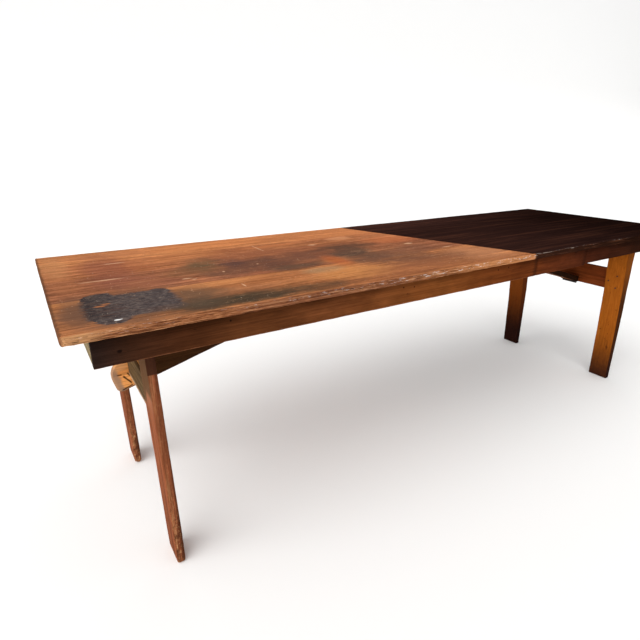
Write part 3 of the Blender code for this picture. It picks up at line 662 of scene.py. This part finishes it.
def left_leg_layers(word):
    def layers(g, ragged):
        """Painted shadow, grey-brown, at the top of the outer face with painted sunlight below it,
        painted shadow under the rail, scuffed at the foot.
        """
        outer = g.less(g.x, g.add(g.times(g.add(g.z, -FACE_Z), -FACE_SLOPE), FACE_X))
        near_y = LEG_Y[0 if word == "near" else 1][0]
        skin = g.under(outer, 0.0008, 0.0022)
        fore = g.under(g.less(g.y, near_y), 0.0010, 0.0030)
        streak = g.smooth(g.noise((110, 110, 2.6), (1, 2, 3), 5, 0.65), 0.50, 0.66)
        g.paint(srgb(88, 43, 27), streak, 0.55)
        ridge = g.times(g.band(g.add(outer, g.times(ragged, 0.004)), 0.0030, 0.0105, 0.0016),
                        fore, g.smooth(g.z, -0.52, -0.42, 1.0, 0.35),
                        g.smooth(g.noise((150, 150, 9), (5, 2, 8), 4, 0.7), 0.44, 0.60))
        g.paint(srgb(196, 142, 96), ridge, 0.55)
        nick = g.noise((170, 170, 90), (8, 2, 1), 5, 0.75)
        nick = g.times(g.smooth(nick, 0.53, 0.61), fore, g.smooth(g.z, -0.64, -0.50, 1.0, 0.15))
        g.paint(srgb(206, 160, 112), nick, 0.65)
        inner = g.times(g.smooth(outer, 0.0145, 0.0205), fore, g.smooth(g.z, -0.60, -0.50, 1.0, 0.6))
        g.paint(srgb(58, 30, 19), inner, 0.75)
        dirt = g.times(g.smooth(g.noise((90, 90, 30), (6, 3, 1), 5, 0.75), 0.44, 0.58), fore,
                       g.smooth(g.z, -0.66, -0.42, 0.85, 0.15))
        g.paint(srgb(74, 40, 26), dirt)
        # painted shadow of the top and rail, grey-brown, on the outer face ends at a slanting line
        slant = g.less(g.less(g.y, near_y), g.times(g.add(g.z, 0.105), -0.40))
        patch = g.times(g.smooth(slant, 0.001, 0.006), g.smooth(g.z, -0.262, -0.250))
        patch = g.times(g.most(patch, g.smooth(g.z, -0.232, -0.206)), skin)
        g.paint(srgb(98, 72, 48), patch, 0.88)
        # Below that shadow the outer face gets pale painted sunlight.
        pale = g.times(skin, g.less(1.0, patch), g.smooth(g.z, -0.30, -0.18))
        g.paint(srgb(200, 146, 112), pale, 0.35)
        # On the near leg the rail's painted shadow darkens the top of the near face.
        if word == "near":
            shade = g.times(g.smooth(g.z, -0.1575, -0.1555), fore)
            g.paint(shown(56, 33, 23, NEAR), shade, 0.92)
        foot = g.under(g.add(g.z, g.times(ragged, 0.05)), -0.718, -0.700)
        g.paint(srgb(176, 128, 90), foot, 0.5)
    return layers


def right_leg_layers(word):
    def layers(g, ragged):
        """Darker from the foot up, and painted shade on the face towards the near side."""
        near = word == "near"
        side = g.under(g.less(g.y, LEG_Y[0 if near else 1][0]), 0.0012, 0.0035)
        spots = g.smooth(g.noise((80, 80, 44), (3, 1, 6), 2), 0.67, 0.72)
        g.paint(srgb(60, 32, 14), spots, 0.6)
        # Painted shade on the face towards the near side, which faces away from the light.
        strength = g.smooth(g.z, -0.35, -0.12, 0.94, 0.45) if near else 0.75
        g.paint(shown(52, 27, 14, NEAR), side, strength)
        blackish = g.add(g.z, g.times(ragged, 0.08))
        if near:
            g.paint(srgb(40, 22, 22), g.smooth(blackish, -0.74, -0.47, 0.93, 0.0))
            g.shade(g.smooth(g.z, -0.62, -0.25, 0.76, 1.0))
        else:
            # The far leg is painted darker, as shade under the table, and redder; both legs darken
            # towards the foot.
            g.paint(srgb(120, 56, 26), 0.6)
            g.paint(srgb(42, 24, 24), g.smooth(blackish, -0.66, -0.40, 0.93, 0.0))
            g.shade(g.smooth(g.z, -0.60, -0.18, 0.50, 1.0))
    return layers


def head_layers(g, ragged):
    """Weathered grey end, a grey lower edge, a forked crack in the near side, and painted shade past
    the head.
    """
    s, c = math.sin(TILT), math.cos(TILT)
    dx, dz = g.less(g.x, PIN_L[0]), g.less(g.z, PIN_L[1])
    u = g.add(g.times(dx, c), g.times(dz, s))
    v = g.less(g.times(dz, c), g.times(dx, s))
    grey = g.under(g.add(u, g.times(ragged, 0.012)), -0.046, -0.036)
    g.paint(srgb(150, 122, 102), grey, 0.80)
    pale = g.times(g.band(u, -0.046, -0.012, 0.006), g.smooth(v, 0.012, 0.024))
    g.paint(srgb(214, 160, 112), pale, 0.5)
    lower = g.under(g.add(v, g.times(ragged, 0.004)), -0.0400, -0.0370)
    g.paint(srgb(126, 98, 80), lower, 0.85)
    face = g.under(g.y, 0.3705, 0.3720)
    for u0, v0, u1, v1, wide in ((-0.031, 0.000, -0.018, -0.030, 0.0024),
                                 (-0.033, 0.006, -0.044, 0.010, 0.0016),
                                 (-0.018, 0.004, -0.014, -0.008, 0.0022),
                                 (-0.048, -0.0385, -0.018, -0.0355, 0.0016)):
        long = math.hypot(u1 - u0, v1 - v0)
        ax, av = (u1 - u0) / long, (v1 - v0) / long
        du, dv = g.less(u, u0), g.less(v, v0)
        run = g.add(g.times(du, ax), g.times(dv, av))
        off = g.math("ABSOLUTE", g.less(g.times(dv, ax), g.times(du, av)))
        off = g.add(off, g.times(ragged, 0.003))
        line = g.times(g.under(off, wide * 0.5, wide * 1.4), g.band(run, 0.0, long, 0.002), face)
        g.paint(srgb(30, 14, 7), line, 0.9)
    # Past the head the strut is painted in shade under the table.
    past = g.smooth(g.x, 0.190, 0.202)
    past_head_shade = g.mix(g.under(g.add(v, g.times(ragged, 0.004)), -0.0420, -0.0385), shown(26, 14, 9, NEAR),
                shown(64, 39, 26, NEAR))
    g.paint(past_head_shade, past, 0.94)


def crossbar_layers(g, ragged):
    """A pale lower edge of painted sunlight, below the shade of the top."""
    low = g.under(g.add(g.z, g.times(ragged, 0.004)), -0.2660, -0.2610)
    g.paint(srgb(186, 152, 122), low, 0.80)


def right_strut_layers(g, ragged):
    """Painted shade under the table: black along the edge and dark over the face, with a painted
    orange-brown highlight near the crossboard.
    """
    painted_highlight = g.times(g.smooth(g.x, 1.95, 2.20), g.smooth(g.y, 0.322, 0.340))
    dark = g.mix(g.under(g.y, 0.316, 0.319), shown(44, 24, 14, 0.6), shown(22, 12, 8, 0.6))
    g.paint(dark, g.less(0.97, g.times(painted_highlight, 0.75)))


def metal(name, base, rust, amount, rough=0.5):
    g = Graph(name, metallic=0.75)
    grime = g.noise((90, 90, 90), (1, 2, 3), 5, 0.7)
    g.colour = g.mix(g.smooth(grime, 0.5 - amount * 0.2, 0.62), base, rust)
    roughness = g.add(g.times(grime, 0.35), rough - 0.1)
    return g.finish(roughness, grime, strength=0.35, distance=0.0005, specular=0.5)


# ======== the pieces

SEAM = 0.00015              # half the gap between two planks


def plank_radius(near_r, far_r, seed, busy):
    def radius(at, size):
        share = np.clip((at[:, 1] - at[:, 1].min()) / size[1], 0, 1)
        base = near_r + (far_r - near_r) * (share > 0.5)
        wave = (busy * (0.6 * fuzz(at, (0.045, 0.045, 0.045), seed)
                        + 0.5 * fuzz(at, (0.011, 0.02, 0.02), seed + 5)))
        return base * (1 + wave)
    return radius


def rubbed_front(p):
    """The near plank's front edge is dented along its length."""
    p = p.copy()
    low = np.array([0.0, 0.0, -TOP])
    at = p + low
    reach = np.exp(-(p[:, 1] / 0.010) ** 2)
    dents = np.clip(fuzz(at, (0.05, 1, 0.03), 71) - 0.15, 0, 1) * 0.0018
    dents += np.clip(fuzz(at, (0.014, 1, 0.007), 72) - 0.10, 0, 1) * 0.0009
    dents += np.clip(fuzz(at, (0.05, 1, 0.0035), 73) - 0.35, 0, 1) * 0.0022
    fade = np.clip((1.50 - at[:, 0]) / 0.1, 0.35, 1)
    p[:, 1] += reach * dents * fade
    return p + low


for index in range(1, 5):
    near, far = PLANK_JOINTS[index - 1], PLANK_JOINTS[index]
    near_y = near + (SEAM if index > 1 else 0)
    far_y = far - (SEAM if index < 4 else 0)
    near_r, far_r, busy = {1: (0.0042, 0.0007, 0.8), 4: (0.0007, 0.0030, 0.6)}.get(
        index, (0.0007, 0.0007, 0.6))
    rounded = {1: [(0, 0, 0.014), (LENGTH, 0, 0.010)],
               4: [(0, far_y - near_y, 0.010), (LENGTH, far_y - near_y, 0.010)]}.get(index, ())
    board(f"plank_{index}", (0, near_y, -TOP), (LENGTH, far_y, 0), "table", top_material(index),
          "top_wood", [f"top_plank_{index}"], step=(0.006 if index == 1 else 0.012, 0.010, 0.005),
          rough=0.0004, seed=10 * index, radius_at=plank_radius(near_r, far_r, 5 * index, busy),
          shape=rubbed_front if index == 1 else None, corners=rounded)

# The near rail's tones are greys, because near_rail_layers multiplies its own colours into them.
RAIL = ((0.66, 0.60, 0.54, 1), (0.94, 0.94, 0.93, 1), (1.0, 1.0, 1.0, 1))
rail_mat = wood("near_rail_wood", 0, 21, RAIL, 0.55, near_rail_layers)
far_mat = wood("far_rail_wood", 0, 27, (srgb(80, 42, 20), srgb(130, 72, 34), srgb(160, 96, 50)),
               0.9, plain_rail_layers)
end_mat = wood("end_rail_wood", 1, 31, (srgb(104, 88, 62), srgb(150, 132, 98), srgb(176, 158, 122)),
               0.9)
inner_mat = wood("inner_wood", 1, 37, (srgb(104, 76, 50), srgb(156, 118, 80), srgb(186, 148, 106)))
block_mat = wood("block_wood", 2, 39, (srgb(100, 72, 48), srgb(150, 112, 76), srgb(180, 142, 100)))


def from_box(node, name, mat, slot, **extra):
    """A worn board in the place of one of the table's box-shaped nodes."""
    low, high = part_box(node)
    low, high = np.array(low) - ORIGIN, np.array(high) - ORIGIN
    board(name, low, high, "table", mat, slot, [node], **extra)


seed = 100
for letter in "abc":
    from_box(f"near_rail_{letter}", f"rail_near_{letter}", rail_mat, "rail_wood",
             radius=0.0022, seed=seed, rough=0.0005)
    seed += 11
from_box("far_rail", "rail_far", far_mat, "rail_wood", radius=0.0022, seed=seed)
for side in ("left", "right"):
    from_box(f"end_rail_{side}", f"rail_end_{side}", end_mat, "end_rail_wood",
             radius=0.0018, seed=seed + 3, grain=1)
    from_box(f"splice_block_{side}", f"splice_{side}", block_mat, "inner_wood",
             seed=seed + 5)
    from_box(f"stop_cleat_{side}", f"stop_{side}", inner_mat, "inner_wood",
             seed=seed + 6, grain=1)
    from_box(f"strut_catch_{side}", f"catch_{side}", inner_mat, "inner_wood",
             seed=seed + 7, grain=1, step=(0.006, 0.006, 0.006))
    for row in ("near", "far"):
        from_box(f"corner_block_{row}_{side}", f"corner_{row}_{side}", block_mat,
                 "inner_wood", seed=seed + 8, grain=2)
    seed += 17
for word in ("left", "middle", "right"):
    from_box(f"cleat_{word}", f"batten_{word}", inner_mat, "inner_wood", seed=seed,
             grain=1)
    seed += 13

# ---- Left leg frame
LEG_HEAD_Z = -0.040
LEFT_THICK = 0.024


def left_face(z):
    return FACE_X + FACE_SLOPE * (FACE_Z - z)


def left_leg_shape(y0):
    def shape(p):
        z = p[:, 2] - HEIGHT
        thick = np.interp(z, [-HEIGHT, -HEIGHT + 0.10, LEG_HEAD_Z], [0.0213, 0.0225, LEFT_THICK])
        return np.stack([left_face(z) + p[:, 0] / LEFT_THICK * thick, p[:, 1] + y0, z], 1)
    return shape


def foot_radius(base, seed, extra):
    """Edges rounder towards the foot, where they rub on the ground."""
    def radius(at, size):
        r = base * (1 + 0.45 * fuzz(at, (0.03, 0.03, 0.06), seed)
                    + 0.35 * fuzz(at, (0.009, 0.009, 0.018), seed + 3))
        up = at[:, 2] - at[:, 2].min()
        return r + extra * np.exp(-(up / 0.014) ** 2) * (1 + 0.4 * fuzz(at, 0.008, seed + 5))
    return radius


LEG_RED = (srgb(98, 50, 31), srgb(139, 79, 51), srgb(164, 98, 66))
for word, (y0, y1), seed, wear in zip(("near", "far"), LEG_Y, (201, 233), (0.0035, 0.0075)):
    mat = wood(f"left_leg_wood_{word}", 2, 41 if word == "near" else 47, LEG_RED, 1.0,
               left_leg_layers(word))
    board(f"leg_left_{word}", (0, 0, 0), (LEFT_THICK, y1 - y0, HEIGHT + LEG_HEAD_Z),
          "left_leg_frame", mat, "left_leg_wood", [f"left_leg_{word}"], step=(0.003, 0.006, 0.008),
          radius_at=foot_radius(0.0024, seed, wear), rough=0.0008, seed=seed, grain=2,
          shape=left_leg_shape(y0))

BAR_TOP_Z, BAR_LOW_Z = -0.184, -0.272
BAR_THICK, BAR_SET = 0.0081, 0.0005     # its thickness, and how far behind the legs' faces it is
BAR_Y = (LEG_Y[0][1] + GAP, LEG_Y[1][0] - GAP)
NOTCH_Y, NOTCH_TOP = (0.3635, 0.3985), -0.202


def crossbar_shape(p):
    """Lifts the lower edge over the slot that the strut's head turns in."""
    y = p[:, 1] + BAR_Y[0]
    low = np.where((y > NOTCH_Y[0]) & (y < NOTCH_Y[1]), NOTCH_TOP, BAR_LOW_Z)
    share = p[:, 2] / (BAR_TOP_Z - BAR_LOW_Z)
    z = low + (BAR_TOP_Z - low) * share
    return np.stack([left_face(z) + BAR_SET + p[:, 0], y, z], 1)


# The crossbar's grey-brown tones are painted shade from the top's overhang.
bar_mat = wood("crossbar_wood", 1, 51, (srgb(72, 54, 36), srgb(100, 78, 52), srgb(128, 102, 70)),
               1.0, crossbar_layers)
board("crossbar", (0, 0, 0), (BAR_THICK, BAR_Y[1] - BAR_Y[0], BAR_TOP_Z - BAR_LOW_Z),
      "left_leg_frame", bar_mat, "crossbar_wood", ["left_crossbar"], radius=0.0018, seed=251,
      grain=1, step=(0.003, 0.010, 0.005), shape=crossbar_shape,
      sharp_y=(NOTCH_Y[0] - BAR_Y[0], NOTCH_Y[1] - BAR_Y[0]))

# ---- Left strut, in its own tilted plane
# u runs along the strut from its pin and v across it. The outlines are (u values, v values).
STRUT_Y, STRUT_DEEP = (0.369, 0.393), 0.08
STRUT_LOW, STRUT_TOP = -0.0439, 0.005
U_LOW, U_HIGH = -0.0614, 0.800
HEAD_LOW = ((U_LOW, -0.0606, -0.0598, -0.0560, -0.0500),
            (-0.0200, -0.0355, -0.0385, -0.0425, STRUT_LOW))
HEAD_TOP = ((U_LOW, -0.0604, -0.0569, -0.0489, -0.0351, -0.0240, 0.030, 0.052, 0.075, 0.092),
            (-0.0126, 0.0034, 0.0156, 0.0279, 0.0385, 0.0400, 0.0400, 0.030, 0.010, STRUT_TOP))


def strut_shape(p):
    """Grows the blunt head and its swelling from a plain bar."""
    u = p[:, 0] + U_LOW
    low, high = np.interp(u, *HEAD_LOW), np.interp(u, *HEAD_TOP)
    v = low + (high - low) * p[:, 2] / STRUT_DEEP
    u = np.minimum(u, U_HIGH + (v - STRUT_TOP) * math.tan(TILT))        # the end is cut plumb
    x = PIN_L[0] + u * math.cos(TILT) - v * math.sin(TILT)
    z = PIN_L[1] + u * math.sin(TILT) + v * math.cos(TILT)
    return np.stack([x, p[:, 1] + STRUT_Y[0], z], 1)


def strut_radius(at, size):
    """Broadly rounded at the head's end, fairly crisp elsewhere."""
    near_end = np.exp(-(at[:, 0] / 0.012) ** 2)
    return (0.0024 + 0.0055 * near_end) * (1 + 0.35 * fuzz(at, 0.02, 271))


# The strut's bright orange tones are painted sunlight on its head.
strut_mat = wood("left_strut_wood", 0, 61, (srgb(186, 110, 52), srgb(232, 158, 90),
                                            srgb(248, 190, 126)), 0.8, head_layers)
board("strut_left", (0, 0, 0), (U_HIGH - U_LOW, STRUT_Y[1] - STRUT_Y[0], STRUT_DEEP),
      "left_strut", strut_mat, "left_strut_wood", ["left_strut"], radius_at=strut_radius, seed=271,
      step=(0.003, 0.003, 0.004), rough=0.0008, shape=strut_shape)

# ---- Right leg frame. Each face's line is (z values, x values)
INNER = ((-0.72, -0.47, -0.30, -0.12, -0.04), (2.2445, 2.233, 2.219, 2.198, 2.198))
OUTER = ((-0.72, -0.40, -0.25, -0.108, -0.04), (2.266, 2.262, 2.253, 2.249, 2.2475))
RIGHT_THICK = 0.040


def right_leg_shape(y0):
    def shape(p):
        z = p[:, 2] - HEIGHT
        inner, outer = np.interp(z, *INNER), np.interp(z, *OUTER)
        return np.stack([inner + (outer - inner) * p[:, 0] / RIGHT_THICK, p[:, 1] + y0, z], 1)
    return shape


LEG_GOLD = (srgb(146, 76, 22), srgb(168, 92, 28), srgb(180, 104, 38))
for word, (y0, y1), seed in zip(("near", "far"), LEG_Y, (301, 333)):
    mat = wood(f"right_leg_wood_{word}", 2, 71 if word == "near" else 77, LEG_GOLD, 0.40,
               right_leg_layers(word))
    board(f"leg_right_{word}", (0, 0, 0), (RIGHT_THICK, y1 - y0, HEIGHT + LEG_HEAD_Z),
          "right_leg_frame", mat, "right_leg_wood", [f"right_leg_{word}"],
          step=(0.006, 0.006, 0.008), radius=0.0022, rough=0.0005, seed=seed, grain=2,
          shape=right_leg_shape(y0))

BOARD_TOP_Z, BOARD_LOW_Z = -0.198, -0.292
BOARD_Y, BOARD_THICK = (0.100, 0.662), 0.020


def crossboard_shape(p):
    z = BOARD_LOW_Z + p[:, 2]
    ends = [np.interp(end_z, *OUTER) for end_z in (BOARD_LOW_Z, BOARD_TOP_Z)]
    face = np.interp(z, [BOARD_LOW_Z, BOARD_TOP_Z], ends) + GAP
    return np.stack([face + p[:, 0], p[:, 1] + BOARD_Y[0], z], 1)


crossboard_mat = wood("crossboard_wood", 1, 81, (srgb(86, 40, 18), srgb(128, 62, 29),
                                                 srgb(148, 78, 40)), 0.6)
board("crossboard", (0, 0, 0), (BOARD_THICK, BOARD_Y[1] - BOARD_Y[0], BOARD_TOP_Z - BOARD_LOW_Z),
      "right_leg_frame", crossboard_mat, "crossboard_wood", ["right_crossboard"], radius=0.0018,
      seed=351, grain=1, shape=crossboard_shape)

# ---- Right strut, a flat board
PIN_R, LEAN = (2.2505, -0.2963), math.radians(17.0)
RIGHT_Y = (0.315, 0.400)
LOW_V, THICK = 0.0046, 0.024            # how far the lower face lies above the pin
LONG = 0.7712
BUTT_X = PIN_R[0] + 0.0015              # the end beside the crossboard


def right_strut_shape(p):
    """Leans the board on the hinge pin, with both ends cut plumb."""
    v = LOW_V + p[:, 2]
    tip_x = PIN_R[0] - LONG * math.cos(LEAN) + (LOW_V + THICK) * math.sin(LEAN)
    start = (PIN_R[0] + v * math.sin(LEAN) - BUTT_X) / math.cos(LEAN)
    stop = (PIN_R[0] + v * math.sin(LEAN) - tip_x) / math.cos(LEAN)
    u = stop + (start - stop) * p[:, 0] / LONG
    x = PIN_R[0] - u * math.cos(LEAN) + v * math.sin(LEAN)
    z = PIN_R[1] + u * math.sin(LEAN) + v * math.cos(LEAN)
    return np.stack([x, p[:, 1] + RIGHT_Y[0], z], 1)


right_strut_mat = wood("right_strut_wood", 0, 91, (srgb(130, 70, 28), srgb(172, 98, 42),
                                                   srgb(196, 122, 60)), 0.9, right_strut_layers)
board("strut_right", (0, 0, 0), (LONG, RIGHT_Y[1] - RIGHT_Y[0], THICK), "right_strut",
      right_strut_mat, "right_strut_wood", ["right_strut"], radius=0.0020, seed=371,
      shape=right_strut_shape)

# ---- Metal pieces keep their frame shapes
rod_mat = metal("rod_steel", srgb(128, 122, 116), srgb(92, 58, 40), 0.6)
hinge_mat = metal("hinge_steel", srgb(44, 40, 38), srgb(66, 44, 34), 0.4, 0.6)
nail_mat = metal("nail_steel", srgb(74, 66, 60), srgb(74, 46, 32), 0.9, 0.65)
for name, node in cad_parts.items():
    if name.startswith(("pivot_rod", "left_strut_rod", "left_strut_washer")):
        paint = rod_mat
    elif name.startswith(("hinge_leaf", "hinge_pin")):
        paint = hinge_mat
    elif "nail" in name or "screw" in name:
        paint = nail_mat
    else:
        continue
    node.data.materials.clear()
    node.data.materials.append(paint)


# ======== stage, light and camera

def build_floor():
    """A pale floor that curves up into a backdrop far behind the table."""
    rows = [(-14.0, 0.0), (7.0, 0.0)]
    for i in range(1, 13):
        a = math.radians(90 * i / 12)
        rows.append((7.0 + 3.0 * math.sin(a), 3.0 - 3.0 * math.cos(a)))
    rows.append((10.0, 12.0))
    verts = [(x, y, z - 0.0005) for y, z in rows for x in (-22.0, 22.0)]
    quads = [(2 * i, 2 * i + 1, 2 * i + 3, 2 * i + 2) for i in range(len(rows) - 1)]
    mesh = bpy.data.meshes.new("floor")
    mesh.from_pydata(verts, [], quads)
    mesh.shade_smooth()
    paint = bpy.data.materials.new("floor")
    paint.use_nodes = True
    shader = paint.node_tree.nodes["Principled BSDF"]
    shader.inputs["Base Color"].default_value = (0.92, 0.92, 0.92, 1)
    shader.inputs["Roughness"].default_value = 0.9
    shader.inputs["Specular IOR Level"].default_value = 0.1
    mesh.materials.append(paint)
    ob = bpy.data.objects.new("floor", mesh)
    bpy.context.scene.collection.objects.link(ob)


def build_light():
    """An even white surround and one broad lamp from the upper left."""
    world = bpy.data.worlds.new("studio")
    bpy.context.scene.world = world
    world.use_nodes = True
    background = world.node_tree.nodes["Background"]
    background.inputs["Color"].default_value = (1.0, 1.0, 1.0, 1)
    background.inputs["Strength"].default_value = 0.60
    lamp = bpy.data.lights.new("key", "SUN")
    lamp.energy = 2.6
    lamp.angle = math.radians(70)
    lamp.color = (1.0, 0.99, 0.97)
    key = bpy.data.objects.new("key", lamp)
    bpy.context.scene.collection.objects.link(key)
    key.rotation_euler = Vector((-0.66, -0.29, 0.66)).to_track_quat("Z", "Y").to_euler()


def build_camera(eye, yaw, pitch, roll):
    """A wide lens at eye, turned by yaw from +Y towards +X and looking down by pitch."""
    camera = bpy.data.cameras.new("camera")
    camera.lens = 27.0
    camera.sensor_width = 36.0
    camera.clip_end = 100
    viewer = bpy.data.objects.new("camera", camera)
    bpy.context.scene.collection.objects.link(viewer)
    right = Vector((math.cos(yaw), -math.sin(yaw), 0))
    ahead = Vector((math.sin(yaw), math.cos(yaw), 0))
    look = ahead * math.cos(pitch) - Vector((0, 0, 1)) * math.sin(pitch)
    up = Vector((0, 0, 1)) * math.cos(pitch) + ahead * math.sin(pitch)
    side = right * math.cos(roll) + up * math.sin(roll)
    top = up * math.cos(roll) - right * math.sin(roll)
    turn = Matrix((side, top, -look)).transposed().to_4x4()
    viewer.matrix_world = Matrix.Translation(eye) @ turn
    bpy.context.scene.camera = viewer


build_floor()
build_light()
build_camera(place(-0.0246, -0.9412, 0.3384), yaw=0.5596, pitch=0.3531, roll=0.0048)
bpy.context.scene.view_settings.view_transform = "Standard"
